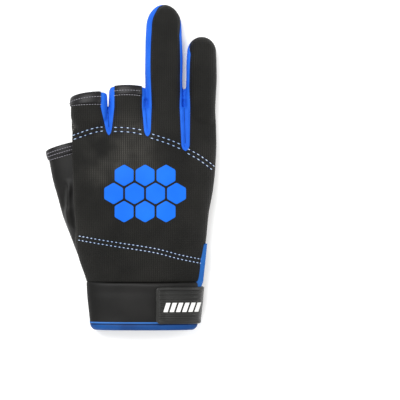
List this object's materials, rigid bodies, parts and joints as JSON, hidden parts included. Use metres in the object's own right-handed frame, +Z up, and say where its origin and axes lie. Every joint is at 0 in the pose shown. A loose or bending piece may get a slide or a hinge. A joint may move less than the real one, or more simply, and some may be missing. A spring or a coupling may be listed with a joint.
{
  "type": "fishing glove",
  "caption": "Three-cut fishing glove for the right hand, lying palm down: knitted back, textured palm, blue gussets between the fingers, cuff with slit and closing strap.",
  "frame": {"origin": "middle of the glove's footprint, on the surface it lies on", "axes": "+Y from the wrist to the fingertips, +X to the little finger, +Z up through the back of the hand"},
  "size_m": [0.1002, 0.191, 0.025],
  "materials": {
    "knit_black": "fine-ribbed stretch knit",
    "palm_grip": "synthetic leather with small raised dashes",
    "gusset_blue": "bright stretch cloth",
    "smooth_black": "smooth laminated foam cloth",
    "binding_blue": "folded woven tape",
    "strap_grey": "ribbed, with a raised border"
  },
  "bodies": {
    "root": {"back_panel": "knit_black", "palm_panel": "palm_grip", "fourchette_index_middle": "gusset_blue", "fourchette_middle_ring": "gusset_blue", "fourchette_ring_little": "gusset_blue", "thumb_back_panel": "smooth_black", "thumb_palm_panel": "palm_grip", "cuff_band": "smooth_black", "cuff_binding": "binding_blue", "slit_binding": "binding_blue", "wrist_strap": "strap_grey"}
  },
  "joints": []
}
